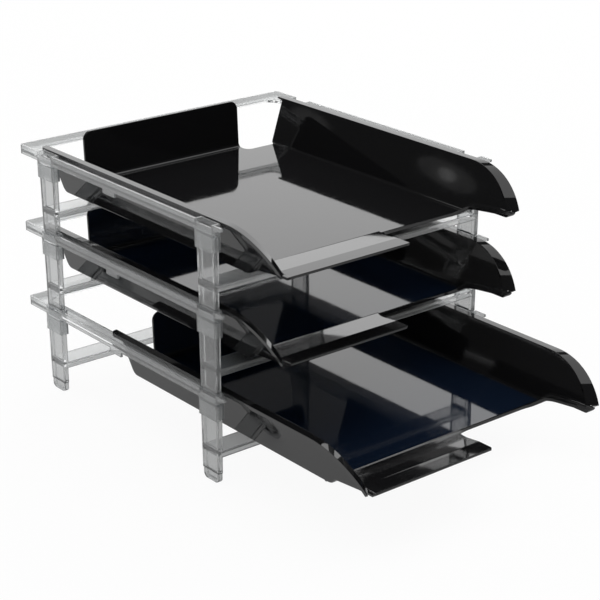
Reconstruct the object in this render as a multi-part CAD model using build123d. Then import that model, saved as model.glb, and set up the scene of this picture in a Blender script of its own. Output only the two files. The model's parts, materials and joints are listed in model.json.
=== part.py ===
from build123d import *
import math
import os

# Tiered letter tray. Three glossy trays hang by their flanges in three clear rim frames, and each
# frame stands on a front and a rear riser, whose feet plug into the frame below. The bottom tray
# is pulled forward. Lengths are in millimetres. +X is right, -Y is the front, +Z is up.
#
# Each function works in its own tier's frame: X = 0 is the middle, Y = 0 is the rear end of a
# pushed-in tray's side walls, and Z = 0 is the top of the tray's flange.

# Stack
tiers = ("top", "middle", "bottom")
bottom_pull = 100

# Tray: floor and walls
floor_width = 230.6
floor_length = 268.5
tray_depth = 41.3
wall_lean = 18.3
wall_thickness = 2.5
floor_thickness = 2.8
crease_radius = 3
underside_radius = 2.5
rear_corner_radius = 6
wall_rear_setback = 2.2
floor_rear_setback = 7

# Tray: wings and front shelf
wing_length = 55.3
wing_drop = 30
wing_start = 1.7
inner_wing_start = 6.5
inner_wing_setback = 8.3
wing_tip_radius = 3.6
shelf_rise = 10.3
step_rise = 6.8
step_run = 9
ramp_run = 30
step_foot_radius = 6
step_shoulder_radius = 8
shelf_setback = 1.3
shelf_end = 4.5
shelf_corner_radius = 2
notch_radius = 27
strip_width = 6
strip_radius = 20
rib_setback = 6.5
rib_drop = 1.5
rib_radius = 2

# Tray: flange and back panel
flange_width = 7
flange_thickness = 1.6
flange_rear_reach = 5
flange_rear_radius = 6
lip_height = 4.4
lip_thickness = 2
panel_width = 171
panel_shift = -3
panel_setback = 6.5
panel_lean = 2
panel_rise = 3.3
panel_corner_radius = 8
panel_foot_radius = 4
tongue_radius = 6

# Rim frame
rim_drop = 0.9
rim_wall = 2.2
skirt_height = 8.2
rail_thickness = 1.3
back_ledge_width = 8.5
rim_rear_reach = 26
rim_corner_radius = 3
rim_inner_radius = 14
rim_tongue = 23.3
rim_end_height = 2.5
rim_end_radius = 1
tab_y = -115
tab_length = 17
tab_height = 4

# Sockets at the four legs
socket_depth = 12.5
pocket_depth = 8.6
web_thickness = 2.2
block_wall = 1.2
socket_front_wall = 1.5
block_chamfer = 0.8
pocket_dip = 2.5

# Risers
leg_length = 69.2
leg_top_width = 23.3
leg_foot_width = 21
leg_depth = 4.6
leg_wall = 2.3
leg_inset = 1.8
foot_radius = 4.5
top_step = 1.1
plug_step = 0.4
crossbar_height = 29
crossbar_thickness = 2.5
crossbar_lip = 3
crossbar_gusset = 2.5
nub_height = 11
nub_size = 2.4
nub_reach = 0.6
front_leg_setback = 20.3
rear_leg_setback = 14.7

# Clearances
ledge_gap = 0.5
rail_gap = 0.3
tray_side_gap = 0.4
seat_gap = 0.2
fit_gap = 0.2

# Worked out from the sizes above
slope = 1 / math.cos(math.radians(wall_lean))
lean = math.tan(math.radians(wall_lean))
wall_across = wall_thickness * slope
floor_z = -tray_depth
under_z = floor_z - floor_thickness
shelf_z = floor_z + shelf_rise
front_y = -floor_length
tip_y = front_y - wing_length
shelf_y = tip_y + shelf_setback
step_angle = math.atan2(step_rise, step_run)
ramp_angle = math.atan2(shelf_rise - step_rise, ramp_run)
front_leg_y = front_y + front_leg_setback
rear_leg_y = -rear_leg_setback
rim_front_y = front_leg_y - rim_tongue
rim_z = -rim_drop
pocket_floor_z = rim_z - pocket_depth
web_under_z = pocket_floor_z - web_thickness
tier_pitch = leg_length + web_thickness
ledge_z = -lip_height - ledge_gap
block_half = leg_top_width / 2 - top_step + fit_gap + socket_front_wall
block_front_y = front_leg_y - block_half
spare = 10
near = 0.05
steepest_crease = 0.8


def inner_wall_x(z):
    return floor_width / 2 + (z - floor_z) * lean


flange_x = inner_wall_x(0) + flange_width
block_inner_x = flange_x + tray_side_gap
leg_x = block_inner_x + block_wall + fit_gap + leg_depth
rim_half = leg_x + leg_inset


def across(face):
    # A prism along X from an outline drawn in Y and Z
    return extrude(Plane.YZ * face, floor_length, both=True)


def along(face):
    # A prism along Y from an outline drawn in X and Z
    return extrude(Plane.XZ * face, 2 * floor_length, both=True)


def block(x0, x1, y0, y1, z0, z1):
    size = (abs(x1 - x0), abs(y1 - y0), abs(z1 - z0))
    return Pos((x0 + x1) / 2, (y0 + y1) / 2, (z0 + z1) / 2) * Box(*size)


def trough_section(shift, bottom):
    # The space between the two leaning walls, each face moved outward by shift
    low = inner_wall_x(bottom) + shift
    high = inner_wall_x(spare) + shift
    return make_face(Polyline((-low, bottom), (low, bottom), (high, spare), (-high, spare), close=True))


def bend(y, z, rear_angle, front_angle, depth):
    # Where a corner of the bottom's side view lies when both its lines are moved this far down
    middle = (rear_angle + front_angle) / 2
    reach = depth / math.cos((front_angle - rear_angle) / 2)
    return (y - reach * math.sin(middle), z - reach * math.cos(middle))


def bottom_bends(depth):
    # The foot and the shoulder of the step, and the crest of the ramp, this far below the top face
    foot = bend(front_y, floor_z, 0, step_angle, depth)
    shoulder = bend(front_y - step_run, floor_z + step_rise, step_angle, ramp_angle, depth)
    crest = bend(front_y - step_run - ramp_run, shelf_z, ramp_angle, 0, depth)
    return foot, shoulder, crest


def spandrel(x, y, x_way, y_way, radius):
    # What a square corner at (x, y), with its sides along these ways, loses when it is rounded
    square = Pos(x + x_way * radius / 2, y + y_way * radius / 2) * Rectangle(radius, radius)
    return square - Pos(x + x_way * radius, y + y_way * radius) * Circle(radius)


def rounded(face, y, z, radius):
    # The outline with its corner nearest to (y, z) rounded
    corner = face.vertices().sort_by_distance((y, z, 0))[0]
    return fillet(corner, radius)


def rounded_bottom(face, depth):
    # The outline with the step's foot and shoulder rounded about the same centres at every depth
    foot, shoulder = bottom_bends(depth)[:2]
    face = rounded(face, *foot, step_foot_radius + depth)
    return rounded(face, *shoulder, step_shoulder_radius - depth)


def side_outline():
    # The tray's outer shape in side view, before its ends are rounded
    rear = -wall_rear_setback
    tip_low = shelf_z - floor_thickness
    foot, shoulder, crest = bottom_bends(floor_thickness)
    face = make_face(Polyline(
        (rear, under_z), foot, shoulder, crest, (tip_y, tip_low), (tip_y, 0), (rear, 0), close=True))
    return rounded_bottom(face, floor_thickness)


def hollow_outline():
    # What the tray leaves open above its floor, step, ramp and shelf
    front = tip_y - spare
    foot, shoulder, crest = bottom_bends(0)
    face = make_face(Polyline(
        (spare, floor_z), foot, shoulder, crest, (front, shelf_z), (front, spare), (spare, spare),
        close=True))
    return rounded_bottom(face, 0)


def crease_edges(shape, shift):
    # The edges where the leaning walls meet the floor, the ramp and the shelf
    found = []
    for edge in shape.edges():
        middle = edge.position_at(0.5)
        wall_x = inner_wall_x(middle.Z) + shift
        low = middle.Z < shelf_z + crease_radius
        slanting = abs(edge.tangent_at(0.5).Z) < steepest_crease
        if low and slanting and abs(abs(middle.X) - wall_x) < near:
            found.append(edge)
    return found


def wing_plane(offset):
    # The right wall's inner face, moved outward by offset, with its X along Y and its Y up the wall
    x_dir = (0, 1, 0)
    z_dir = (1 / slope, 0, -lean / slope)
    return Plane(origin=(inner_wall_x(0) + offset, 0, 0), x_dir=x_dir, z_dir=z_dir)


def wing_curve(offset, depth):
    # Start, tip and radius of the wing's curve on this plane, this far below the flange's top
    inward = 1 - offset / flange_width
    start = front_y + wing_start + (inner_wing_start - wing_start) * inward
    tip = tip_y + inner_wing_setback * inward
    drop = wing_drop * slope
    radius = ((start - tip) ** 2 + drop**2) / (2 * drop)
    share = depth * slope / radius
    low_tip = (tip + (start - tip) * share, -drop + (drop - radius) * share)
    return (start, -depth * slope), low_tip, radius - depth * slope


def wing_band(offset, top, bottom):
    # A strip of the flange's side view between two depths: level, then bent down over the wing
    start, tip, radius = wing_curve(offset, top)
    low_start, low_tip, low_radius = wing_curve(offset, bottom)
    rear = (flange_rear_reach, start[1])
    low_rear = (flange_rear_reach, low_start[1])
    return wing_plane(offset) * make_face([
        Line(rear, start),
        RadiusArc(start, tip, -radius),
        Line(tip, low_tip),
        RadiusArc(low_tip, low_start, low_radius),
        Line(low_start, low_rear),
        Line(low_rear, rear),
    ])


def wing_air(offset):
    # What lies above the wall on this plane, down to the middle of the flange's plate
    start, tip, radius = wing_curve(offset, flange_thickness / 2)
    front = tip_y - spare
    return wing_plane(offset) * make_face([
        Line((spare, start[1]), start),
        RadiusArc(start, tip, -radius),
        Line(tip, (front, tip[1])),
        Line((front, tip[1]), (front, spare)),
        Line((front, spare), (spare, spare)),
        Line((spare, spare), (spare, start[1])),
    ])


def both_sides(right):
    return right + mirror(right, about=Plane.YZ)


def tray_trough():
    outer = across(side_outline()) & along(trough_section(wall_across, under_z - spare))
    hollow = across(hollow_outline()) & along(trough_section(0, floor_z - spare))
    outer = fillet(crease_edges(outer, wall_across), underside_radius)
    hollow = fillet(crease_edges(hollow, 0), crease_radius)
    rear_low = spandrel(-wall_rear_setback, under_z, -1, 1, rear_corner_radius)
    tip_low = spandrel(tip_y, shelf_z - floor_thickness, 1, 1, wing_tip_radius)
    above_wings = both_sides(loft([wing_air(-wall_thickness), wing_air(flange_width)], ruled=True))
    return outer - hollow - above_wings - across(rear_low) - across(tip_low)


def front_recess():
    # The open bay between the shelf's end and the strip along the right wing
    strip_x = inner_wall_x(shelf_z) - strip_width
    front = tip_y - spare
    outline = make_face(
        Polyline((shelf_end, front_y), (strip_x, front_y), (strip_x, front), (shelf_end, front), close=True)
    )
    outline = rounded(outline, shelf_end, front_y, notch_radius)
    outline = rounded(outline, strip_x, front_y, strip_radius)
    return Pos(0, 0, under_z - spare) * extrude(outline, 2 * tray_depth)


def shelf_trim():
    # What lies ahead of the shelf, with the shelf's free corner rounded
    wall_x = inner_wall_x(shelf_z - floor_thickness)
    front = tip_y - spare
    outline = make_face(
        Polyline((-wall_x, shelf_y), (-wall_x, front), (2 * shelf_end + spare, front),
                 (2 * shelf_end + spare, shelf_y), close=True)
    )
    outline += spandrel(shelf_end, shelf_y, -1, 1, shelf_corner_radius)
    return Pos(0, 0, under_z - spare) * extrude(outline, 2 * tray_depth)


def side_slab(side, start, end):
    # A slab parallel to a side wall, from start to end outward of the wall's inner face
    low_z = under_z - spare
    low = inner_wall_x(low_z)
    high = inner_wall_x(spare)
    return along(make_face(Polyline(
        (side * (low + start), low_z), (side * (low + end), low_z),
        (side * (high + end), spare), (side * (high + start), spare), close=True)))


def tray_flange():
    # The plate that runs out from both walls' tops, and the lip that hangs from its edge
    lip_start = flange_width - lip_thickness
    middle = flange_thickness / 2
    plate = loft([wing_band(x, 0, flange_thickness) for x in (0, flange_width)], ruled=True)
    lip = loft([wing_band(x, middle, lip_height) for x in (lip_start, flange_width)], ruled=True)
    length = flange_rear_reach - tip_y + spare
    plan = Pos(0, flange_rear_reach - length / 2) * Rectangle(2 * flange_x, length)
    plan = fillet(plan.vertices().group_by(Axis.Y)[-1], flange_rear_radius)
    return both_sides(plate + lip) & Pos(0, 0, under_z) * extrude(plan, 2 * tray_depth)


def tray_back():
    # The tongue of floor behind the trough and the panel that stands on it
    half = panel_width / 2
    rear = panel_setback + wall_thickness
    profile = make_face(Polyline(
        (-floor_rear_setback, floor_z), (panel_setback, floor_z),
        (panel_setback + panel_lean, panel_rise), (rear + panel_lean, panel_rise),
        (rear, under_z), (-floor_rear_setback, under_z), close=True))
    profile = rounded(profile, panel_setback, floor_z, panel_foot_radius)
    profile = rounded(profile, rear, under_z, panel_foot_radius + wall_thickness)
    front_view = Pos(0, (panel_rise + under_z) / 2) * Rectangle(panel_width, panel_rise - under_z)
    front_view = fillet(front_view.vertices().group_by(Axis.Y)[-1], panel_corner_radius)
    panel = across(profile) & along(front_view)
    seam = 2 * tongue_radius
    plan = Pos(0, -floor_rear_setback - seam / 2) * Rectangle(2 * (half + seam), seam)
    plan += Pos(0, -floor_rear_setback - seam / 4) * Rectangle(panel_width, seam * 1.5 + tongue_radius)
    roots = [v for v in plan.vertices()
             if abs(abs(v.X) - half) < near and abs(v.Y + floor_rear_setback) < near]
    plan = fillet(roots, tongue_radius)
    tongue = Pos(0, 0, under_z) * extrude(plan, floor_thickness)
    return Pos(panel_shift, 0, 0) * (panel + tongue)


def tray():
    body = tray_trough()
    half = floor_width / 2
    body -= block(-half, half, -floor_rear_setback, spare, under_z - spare, floor_z + spare)
    body -= front_recess()
    body -= shelf_trim()
    rib = Cylinder(rib_radius, floor_width, rotation=(0, 90, 0))
    body += Pos(0, front_y + rib_setback, under_z - rib_drop + rib_radius) * rib
    body += tray_back()
    return body + tray_flange()


def rim_plan(half, front, rear, radius):
    # A plan outline with its two rear corners rounded
    plan = Pos(0, (front + rear) / 2) * Rectangle(2 * half, rear - front)
    return fillet(plan.vertices().group_by(Axis.Y)[-1], radius)


def rim_side_view():
    # The rim's side view, tapered ahead of the front legs
    low = rim_z - skirt_height
    face = make_face(Polyline(
        (rim_rear_reach, rim_z), (rim_front_y, rim_z), (rim_front_y, rim_z - rim_end_height),
        (front_leg_y, low), (rim_rear_reach, low), close=True))
    face = rounded(face, rim_front_y, rim_z, rim_end_radius)
    return rounded(face, rim_front_y, rim_z - rim_end_height, rim_end_radius)


def socket_block(side, leg_y):
    # The block that joins the rim to a leg below and to the foot of the tier above
    base_z = web_under_z - socket_depth
    body = block(side * block_inner_x, side * rim_half, leg_y - block_half, leg_y + block_half, base_z, rim_z)
    outer_edges = body.edges().filter_by(Axis.Z).group_by(Axis.X)[-1 if side > 0 else 0]
    return chamfer(outer_edges, block_chamfer)


def socket_cuts(side, leg_y):
    inner = side * (leg_x - leg_depth - fit_gap)
    plug_half = leg_foot_width / 2 - plug_step + fit_gap
    plug_x = side * (leg_x - plug_step + fit_gap)
    pocket = block(inner, plug_x, leg_y - plug_half, leg_y + plug_half, pocket_floor_z, spare)
    dip = block(side * (block_inner_x + leg_depth), side * (rim_half + spare), leg_y - plug_half,
                leg_y + plug_half, rim_z - pocket_dip, spare)
    top_half = leg_top_width / 2 - top_step + fit_gap
    socket = block(inner, side * (leg_x + fit_gap), leg_y - top_half, leg_y + top_half,
                   web_under_z - socket_depth - spare, web_under_z)
    return pocket + dip + socket


def rim_frame():
    ledge_x = inner_wall_x(ledge_z) + wall_across + ledge_gap
    ledge_rear = rim_rear_reach - back_ledge_width
    outer = rim_plan(rim_half, rim_front_y, rim_rear_reach, rim_corner_radius)
    skirt = outer - rim_plan(rim_half - rim_wall, rim_front_y, rim_rear_reach - rim_wall,
                             rim_corner_radius - rim_wall)
    ledge = rim_plan(rim_half, block_front_y, rim_rear_reach, rim_corner_radius) - rim_plan(
        ledge_x, block_front_y, ledge_rear, rim_inner_radius)
    body = Pos(0, 0, rim_z - skirt_height) * extrude(skirt, skirt_height) & across(rim_side_view())
    body += Pos(0, 0, ledge_z - rim_wall) * extrude(ledge, rim_wall)
    rail_start = wall_across + ledge_gap
    rail_reach = block(-rim_half, rim_half, block_front_y, ledge_rear - rim_inner_radius,
                       ledge_z - rim_wall / 2, -flange_thickness - rail_gap)
    for side in (-1, 1):
        body += side_slab(side, rail_start, rail_start + rail_thickness) & rail_reach
        body += block(side * (rim_half - rim_wall), side * rim_half, tab_y - tab_length / 2,
                      tab_y + tab_length / 2, rim_z - skirt_height - tab_height, rim_z - rim_wall)
        for leg_y in (front_leg_y, rear_leg_y):
            body += socket_block(side, leg_y)
    for side in (-1, 1):
        for leg_y in (front_leg_y, rear_leg_y):
            body -= socket_cuts(side, leg_y)
    return body


def leg_half(z):
    # Half of the leg's width at this height above its foot
    return (leg_foot_width + (leg_top_width - leg_foot_width) * z / leg_length) / 2


def leg_outline(z0, z1, inset):
    # The leg's side view between two heights, drawn in by inset at both edges
    low = leg_half(z0) - inset
    high = leg_half(z1) - inset
    return make_face(Polyline((-low, z0), (low, z0), (high, z1), (-high, z1), close=True))


def riser_leg(side):
    plug_length = pocket_depth + seat_gap
    shoulder = leg_length - socket_depth - fit_gap
    upper = leg_outline(plug_length, shoulder, 0) + leg_outline(shoulder, leg_length, top_step)
    foot = Pos(0, plug_length / 2) * Rectangle(leg_foot_width - 2 * plug_step, plug_length)
    foot = fillet(foot.vertices().group_by(Axis.Y)[0], foot_radius)
    inner = side * (leg_x - leg_depth)
    plane = Plane(origin=(inner, 0, 0), x_dir=(0, 1, 0), z_dir=(side, 0, 0)) if side > 0 else Plane(
        origin=(inner, 0, 0), x_dir=(0, -1, 0), z_dir=(side, 0, 0))
    body = extrude(plane * upper, leg_depth) + extrude(plane * foot, leg_depth - plug_step)
    channel = leg_outline(leg_wall, leg_length + spare, leg_wall + top_step)
    body -= extrude(plane * channel, leg_depth - leg_wall)
    face_y = -leg_half(nub_height)
    catch = Polyline(
        (face_y + nub_reach, nub_height - nub_size / 2), (face_y - nub_reach, nub_height - nub_size / 4),
        (face_y - nub_reach, nub_height + nub_size / 4), (face_y + nub_reach, nub_height + nub_size / 2),
        close=True)
    nub = extrude(Plane.YZ * make_face(catch), nub_size / 2, both=True)
    return body + Pos(side * (leg_x - leg_depth / 2), 0, 0) * nub


def riser():
    # Two legs and the crossbar between them, in one moulding, standing on Z = 0
    depth = 2 * leg_half(crossbar_height - crossbar_thickness)
    plate_x = leg_x - leg_wall
    middle_z = crossbar_height - crossbar_thickness / 2
    width = 2 * leg_x - leg_wall
    span = Pos(0, middle_z) * Rectangle(width, crossbar_thickness)
    posts = Pos(0, middle_z) * (Rectangle(width, 2 * spare) - Rectangle(2 * plate_x, 3 * spare))
    profile = span + posts
    inside = [v for v in profile.vertices()
              if abs(abs(v.X) - plate_x) < near and abs(v.Y - middle_z) < crossbar_thickness]
    profile = chamfer(inside, crossbar_gusset)
    body = extrude(Plane.XZ * profile, depth / 2, both=True)
    lip_z = crossbar_height - crossbar_thickness - crossbar_lip
    body += block(-width / 2, width / 2, -depth / 2, -depth / 2 + leg_wall, lip_z, middle_z)
    for side in (-1, 1):
        body += riser_leg(side)
    return body


def save(shape, name, y, z):
    export_step(Pos(0, y - middle_y, z) * shape, f"parts/{name}.step")


middle_y = (rim_rear_reach + tip_y - bottom_pull) / 2
os.makedirs("parts", exist_ok=True)
tray_shape = tray()
rim_shape = rim_frame()
riser_shape = riser()
for number, tier in enumerate(reversed(tiers)):
    foot_z = number * tier_pitch
    flange_z = foot_z + leg_length - web_under_z
    pull = bottom_pull if tier == "bottom" else 0
    save(tray_shape, tier + "_tray", -pull, flange_z)
    save(rim_shape, tier + "_rim_frame", 0, flange_z)
    save(riser_shape, tier + "_front_riser", front_leg_y, foot_z)
    save(riser_shape, tier + "_rear_riser", rear_leg_y, foot_z)
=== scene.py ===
import json
import math

import bmesh
import bpy
from mathutils import Matrix, Vector
from mathutils.bvhtree import BVHTree


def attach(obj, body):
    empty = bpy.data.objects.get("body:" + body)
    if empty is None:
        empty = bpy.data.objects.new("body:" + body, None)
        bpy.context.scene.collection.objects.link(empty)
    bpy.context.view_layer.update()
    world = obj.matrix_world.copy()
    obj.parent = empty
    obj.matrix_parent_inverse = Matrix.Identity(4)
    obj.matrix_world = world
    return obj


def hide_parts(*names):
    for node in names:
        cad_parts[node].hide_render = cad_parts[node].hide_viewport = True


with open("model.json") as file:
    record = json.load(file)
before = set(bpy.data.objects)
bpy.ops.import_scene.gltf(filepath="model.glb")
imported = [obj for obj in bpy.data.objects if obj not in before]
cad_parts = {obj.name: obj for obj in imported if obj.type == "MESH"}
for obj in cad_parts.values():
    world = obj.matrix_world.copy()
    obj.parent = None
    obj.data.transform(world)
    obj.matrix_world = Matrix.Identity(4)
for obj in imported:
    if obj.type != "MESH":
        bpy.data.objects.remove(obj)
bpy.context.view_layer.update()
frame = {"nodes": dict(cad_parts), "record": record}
print("frame loaded:", len(frame["nodes"]), "nodes")

mm = 0.001


# Small helpers

def hexColour(code):
    # sRGB hex to linear, as the shaders want it
    channels = [int(code[i:i + 2], 16) / 255 for i in (1, 3, 5)]
    return [c / 12.92 if c <= 0.04045 else ((c + 0.055) / 1.055) ** 2.4 for c in channels] + [1.0]


def addNode(tree, kind, settings=None, links=None):
    # One node with its settings, its inputs' values and the sockets that feed it
    node = tree.nodes.new(kind)
    for name, value in (settings or {}).items():
        if name in node.inputs:
            node.inputs[name].default_value = value
        else:
            setattr(node, name, value)
    for name, source in (links or {}).items():
        tree.links.new(source, node.inputs[name])
    return node


def newMaterial(name):
    material = bpy.data.materials.new(name)
    material.use_nodes = True
    material.node_tree.nodes.clear()
    return material, material.node_tree


# Materials

blackFinish = {
    "plain": "#151516",
    "paintedNavyGlow": "#101a2a",       # painted navy glow: backlight through the thin dark plastic, painted on the lower trays' floors and panels
    "roughness": 0.035,
    "ior": 1.59,
    "wavePitch": 45.0,         # mm between the slow hills that cooling leaves in a moulded wall
    "waveHeight": 0.035,       # mm
    "waveDetail": 1.0,
    "hazePitch": 9.0,          # mm between the patches of handling haze
    "hazeDetail": 4.0,
    "hazeFrom": (0.35, 0.75),  # the levels of the pattern that are clean and fully hazed
    "hazeSpread": 0.03,        # what a fully hazed patch adds to the roughness
}


def makeGlossBlack(shade):
    # High-impact polystyrene from a polished mould: near-black, mirror gloss that wobbles very slightly
    # over a hand's width, and a thin uneven haze from handling; the hint of navy is a painted glow of
    # backlight through the thin plastic
    material, tree = newMaterial("highImpactPolystyreneBlack" + shade.capitalize())
    place = addNode(tree, "ShaderNodeTexCoord")
    wave = addNode(tree, "ShaderNodeTexNoise", {
        "Scale": 1 / (blackFinish["wavePitch"] * mm),
        "Detail": blackFinish["waveDetail"],
    }, {"Vector": place.outputs["Object"]})
    bump = addNode(tree, "ShaderNodeBump", {
        "Strength": 1.0,
        "Distance": blackFinish["waveHeight"] * mm,
    }, {"Height": wave.outputs["Fac"]})
    haze = addNode(tree, "ShaderNodeTexNoise", {
        "Scale": 1 / (blackFinish["hazePitch"] * mm),
        "Detail": blackFinish["hazeDetail"],
    }, {"Vector": place.outputs["Object"]})
    rough = addNode(tree, "ShaderNodeMapRange", {
        "From Min": blackFinish["hazeFrom"][0],
        "From Max": blackFinish["hazeFrom"][1],
        "To Min": blackFinish["roughness"],
        "To Max": blackFinish["roughness"] + blackFinish["hazeSpread"],
    }, {"Value": haze.outputs["Fac"]})
    shader = addNode(tree, "ShaderNodeBsdfPrincipled", {
        "Base Color": hexColour(blackFinish[shade]),
        "IOR": blackFinish["ior"],
    }, {"Roughness": rough.outputs["Result"], "Normal": bump.outputs["Normal"]})
    addNode(tree, "ShaderNodeOutputMaterial", {}, {"Surface": shader.outputs["BSDF"]})
    return material


clearFinish = {
    "colour": "#f3f4f4",
    "shadow": "#e6eaec",     # what is left of white light that has passed through
    "clarity": 0.84,         # the rest is the milky haze of a worn mould
    "roughness": 0.045,
    "ior": 1.57,
    "wavePitch": 25.0,       # mm between flow waves
    "waveHeight": 0.02,      # mm
    "waveDetail": 1.0,
}


def makeClearPlastic():
    # General-purpose crystal polystyrene from a polished mould: water-clear with bright and dark
    # edge lines, a slight milkiness and faint flow waves
    material, tree = newMaterial("crystalPolystyreneClear")
    place = addNode(tree, "ShaderNodeTexCoord")
    wave = addNode(tree, "ShaderNodeTexNoise", {
        "Scale": 1 / (clearFinish["wavePitch"] * mm),
        "Detail": clearFinish["waveDetail"],
    }, {"Vector": place.outputs["Object"]})
    bump = addNode(tree, "ShaderNodeBump", {
        "Strength": 1.0,
        "Distance": clearFinish["waveHeight"] * mm,
    }, {"Height": wave.outputs["Fac"]})
    shader = addNode(tree, "ShaderNodeBsdfPrincipled", {
        "Base Color": hexColour(clearFinish["colour"]),
        "Roughness": clearFinish["roughness"],
        "IOR": clearFinish["ior"],
        "Transmission Weight": clearFinish["clarity"],
    }, {"Normal": bump.outputs["Normal"]})
    path = addNode(tree, "ShaderNodeLightPath")
    passing = addNode(tree, "ShaderNodeBsdfTransparent", {"Color": hexColour(clearFinish["shadow"])})
    both = addNode(tree, "ShaderNodeMixShader", {}, {
        0: path.outputs["Is Shadow Ray"],
        1: shader.outputs["BSDF"],
        2: passing.outputs["BSDF"],
    })
    addNode(tree, "ShaderNodeOutputMaterial", {}, {"Surface": both.outputs["Shader"]})
    return material


glossBlack = {shade: makeGlossBlack(shade) for shade in ("plain", "paintedNavyGlow")}
clearPlastic = makeClearPlastic()
print("materials made")


# Mouldings: each is the node's own shape with its corners broken, as a mould leaves them

mouldings = {
    # edge is the width in mm of a broken corner, and segments the facets across it
    "tray": {"edge": 0.35, "segments": 2, "slot": "black_tray"},
    "rim_frame": {"edge": 0.25, "segments": 2, "slot": "clear_frame"},
    "riser": {"edge": 0.25, "segments": 2, "slot": "clear_frame"},
}

corners = {
    "mergeGap": 0.002,      # mm, corners this close are one corner
    "flatAngle": 0.2,       # degrees, faces that lie this flat are one face
    "cornerAngle": 32.0,    # degrees, a steeper edge than this is broken
    "broadArea": 300.0,     # mm2, between two faces broader than this
    "bendAngle": 3.0,       # degrees, an edge steeper than only this is broken too
    "profile": 0.5,         # round
    "strayGap": 0.4,        # mm, no corner stays farther than this from the unbroken shape
    "crispAngle": 50.0,     # degrees, the shading doesn't run over a steeper edge
    "broadShare": 80,       # how far broad faces decide the shading at their corners, of 100
}

# the lower trays' floors and panels, which get the painted navy glow of backlight through the thin plastic
paintedGlowFaces = {
    "trays": ("middle_tray", "bottom_tray"),
    "wideArea": 5000.0,     # mm2, of a tray's faces only the floor, the panel and the walls are wider
    "squareOn": 0.9,        # and of these the floor faces up and the panel forwards as squarely as this
}


def isCorner(edge):
    # An edge that a mould can't leave sharp: a steep one, or any bend between two broad flat faces
    if len(edge.link_faces) != 2:
        return False
    broad = min(face.calc_area() for face in edge.link_faces) > corners["broadArea"] * mm * mm
    least = corners["bendAngle"] if broad else corners["cornerAngle"]
    return edge.calc_face_angle(0) > math.radians(least)


def isFloorOrPanel(face):
    wide = face.calc_area() > paintedGlowFaces["wideArea"] * mm * mm
    return wide and max(face.normal.z, -face.normal.y) > paintedGlowFaces["squareOn"]


def breakCorners(form, look):
    surface = BVHTree.FromBMesh(form)
    bmesh.ops.bevel(form, geom=[edge for edge in form.edges if isCorner(edge)],
                    offset=look["edge"] * mm, offset_type="OFFSET", segments=look["segments"],
                    profile=corners["profile"], affect="EDGES", clamp_overlap=False, loop_slide=True)
    for vert in form.verts:
        # where a thin sliver ends, the bevel can throw a corner off the surface: it is put back
        near, _, _, gap = surface.find_nearest(vert.co)
        if gap > corners["strayGap"] * mm:
            vert.co = near


def makeMoulding(node, source, body, look):
    mesh = source.data.copy()
    mesh.materials.clear()
    form = bmesh.new()
    form.from_mesh(mesh)
    bmesh.ops.remove_doubles(form, verts=form.verts, dist=corners["mergeGap"] * mm)
    bmesh.ops.dissolve_limit(form, angle_limit=math.radians(corners["flatAngle"]), verts=form.verts,
                             edges=form.edges)
    breakCorners(form, look)
    bmesh.ops.remove_doubles(form, verts=form.verts, dist=corners["mergeGap"] * mm)
    black = look["slot"] == "black_tray"
    for face in form.faces:
        face.smooth = True
        # floors and panels go to slot 1, which on the lower trays carries the painted navy glow
        if black and isFloorOrPanel(face):
            face.material_index = 1
    form.to_mesh(mesh)
    form.free()
    mesh.set_sharp_from_angle(angle=math.radians(corners["crispAngle"]))
    piece = bpy.data.objects.new(node + "_moulding", mesh)
    bpy.context.scene.collection.objects.link(piece)
    if black:
        piece.data.materials.append(glossBlack["plain"])
        # the lower trays' second slot takes the painted navy glow, the top tray's stays plain black
        piece.data.materials.append(glossBlack["paintedNavyGlow" if node in paintedGlowFaces["trays"] else "plain"])
    else:
        piece.data.materials.append(clearPlastic)
    even = piece.modifiers.new("evenNormals", "WEIGHTED_NORMAL")
    even.keep_sharp = True
    even.weight = corners["broadShare"]
    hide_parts(node)
    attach(piece, body)
    return piece


for body, nodes in frame["record"]["behaviour"]["bodies"].items():
    for node in nodes:
        kind = next(k for k in mouldings if node.endswith(k))
        piece = makeMoulding(node, frame["nodes"][node], body, mouldings[kind])
        print("moulding", piece.name, len(piece.data.polygons), "faces")


# Stage: a pale table, a plain room and soft lamps

studio = {
    "tableSize": 8.0,        # m
    "tableColour": "#f7f7f7",
    "white": "#ffffff",
    "tableWhite": 0.94,      # share of plain white in what the camera sees of the table
    "tableMirrored": 0.7,    # the same share in the plastic's mirror images
    "mirroredLevel": 0.5,    # and the level that this share shows there
    "roomWhite": 1.0,        # the room as the camera sees it, straight or through clear plastic
    "roomMirrored": 0.04,    # the unlit room round the lamps, in mirror images
    "roomLight": 0.45,       # the soft light that comes from all sides
}


def levelByRay(tree, seen, mirrored, otherwise):
    # One level for what the camera sees, straight or through clear plastic, one for mirror images
    # and one for the light itself
    path = addNode(tree, "ShaderNodeLightPath")
    straight = addNode(tree, "ShaderNodeMath", {"operation": "ADD"}, {
        0: path.outputs["Is Camera Ray"],
        1: path.outputs["Is Transmission Ray"],
    })
    plain = addNode(tree, "ShaderNodeMapRange", {"To Min": otherwise, "To Max": seen},
                    {"Value": straight.outputs[0]})
    level = addNode(tree, "ShaderNodeMapRange", {"To Max": mirrored},
                    {"Value": path.outputs["Is Glossy Ray"], "To Min": plain.outputs["Result"]})
    return level.outputs["Result"]


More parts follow.
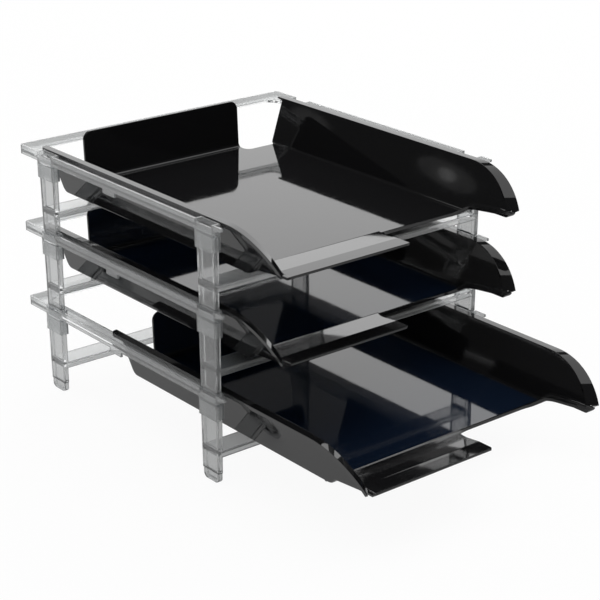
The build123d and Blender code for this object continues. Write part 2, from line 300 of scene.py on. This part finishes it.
def makeTable():
    half = studio["tableSize"] / 2
    mesh = bpy.data.meshes.new("table")
    mesh.from_pydata([(-half, -half, 0), (half, -half, 0), (half, half, 0), (-half, half, 0)], [],
                     [(0, 1, 2, 3)])
    table = bpy.data.objects.new("table", mesh)
    bpy.context.scene.collection.objects.link(table)
    material, tree = newMaterial("paleTable")
    share = levelByRay(tree, studio["tableWhite"], studio["tableMirrored"], 0.0)
    matt = addNode(tree, "ShaderNodeBsdfDiffuse", {"Color": hexColour(studio["tableColour"])})
    level = levelByRay(tree, 1.0, studio["mirroredLevel"], 0.0)
    white = addNode(tree, "ShaderNodeEmission", {"Color": hexColour(studio["white"])}, {"Strength": level})
    both = addNode(tree, "ShaderNodeMixShader", {}, {
        0: share,
        1: matt.outputs["BSDF"],
        2: white.outputs["Emission"],
    })
    addNode(tree, "ShaderNodeOutputMaterial", {}, {"Surface": both.outputs["Shader"]})
    mesh.materials.append(material)


def makeRoom():
    world = bpy.data.worlds.new("studioRoom")
    bpy.context.scene.world = world
    world.use_nodes = True
    tree = world.node_tree
    tree.nodes.clear()
    level = levelByRay(tree, studio["roomWhite"], studio["roomMirrored"], studio["roomLight"])
    room = addNode(tree, "ShaderNodeBackground", {"Color": hexColour(studio["white"])}, {"Strength": level})
    addNode(tree, "ShaderNodeOutputWorld", {}, {"Surface": room.outputs["Background"]})


lampsAimAt = (0, 0, 0.11)    # m, the middle of the stack

lamps = {
    # place and size in m; a box of level 1 would show as plain white, an oval one a little brighter
    "rearBox": {"place": (1.97, 2.05, 1.3), "size": (3.0, 1.9), "level": 1.47},
    "overheadBox": {"place": (0.1, 0.2, 2.3), "size": (3.2, 2.6), "level": 1.3},
    # the soft spots that the top tray's right wall and wing mirror
    "wingSpot": {"place": (-0.727, 0.786, 0.392), "size": (0.03, 0.018), "level": 0.6, "oval": True},
    "wingGlow": {"place": (-0.727, 0.786, 0.392), "size": (0.1, 0.036), "level": 0.13, "oval": True},
    "rearGlow": {"place": (-0.654, 1.046, 0.389), "size": (0.07, 0.03), "level": 0.15, "oval": True},
}


def makeLamp(name, lamp):
    data = bpy.data.lights.new(name, "AREA")
    data.shape = "ELLIPSE" if lamp.get("oval") else "RECTANGLE"
    data.size, data.size_y = lamp["size"]
    data.energy = lamp["level"] * lamp["size"][0] * lamp["size"][1] * math.pi
    box = bpy.data.objects.new(name, data)
    bpy.context.scene.collection.objects.link(box)
    box.location = lamp["place"]
    aim = Vector(lampsAimAt) - Vector(lamp["place"])
    box.rotation_euler = aim.to_track_quat("-Z", "Y").to_euler()
    box.visible_camera = False


makeTable()
makeRoom()
for lampName, lamp in lamps.items():
    makeLamp(lampName, lamp)
print("stage set")


# Camera: solved from the straight edges of the frames

shot = {
    "place": (-0.89197, -1.09663, 0.66197),    # m
    "azimuth": -39.242,                        # degrees
    "elevation": 21.862,
    "roll": -0.052,
    "focalPixels": 1764.17,
    "centrePixel": (311.28, 313.66),
    "imagePixels": 600,
    "sensorWidth": 36.0,                       # mm
    "clip": (0.05, 30),                        # m, nearest and farthest that it sees
}


def makeCamera():
    data = bpy.data.cameras.new("shotCamera")
    camera = bpy.data.objects.new("shotCamera", data)
    bpy.context.scene.collection.objects.link(camera)
    bpy.context.scene.camera = camera
    data.sensor_fit = "HORIZONTAL"
    data.sensor_width = shot["sensorWidth"]
    data.lens = shot["focalPixels"] / shot["imagePixels"] * shot["sensorWidth"]
    data.shift_x = 0.5 - shot["centrePixel"][0] / shot["imagePixels"]
    data.shift_y = shot["centrePixel"][1] / shot["imagePixels"] - 0.5
    turn, tilt = math.radians(shot["azimuth"]), math.radians(shot["elevation"])
    back = Vector((math.sin(turn) * math.cos(tilt), -math.cos(turn) * math.cos(tilt), math.sin(tilt)))
    look = (-back).to_track_quat("-Z", "Y").to_matrix().to_4x4()
    roll = Matrix.Rotation(math.radians(shot["roll"]), 4, "Z")
    camera.matrix_world = Matrix.Translation(shot["place"]) @ look @ roll
    data.clip_start, data.clip_end = shot["clip"]


makeCamera()
bpy.context.scene.view_settings.view_transform = "Standard"
print("camera set")
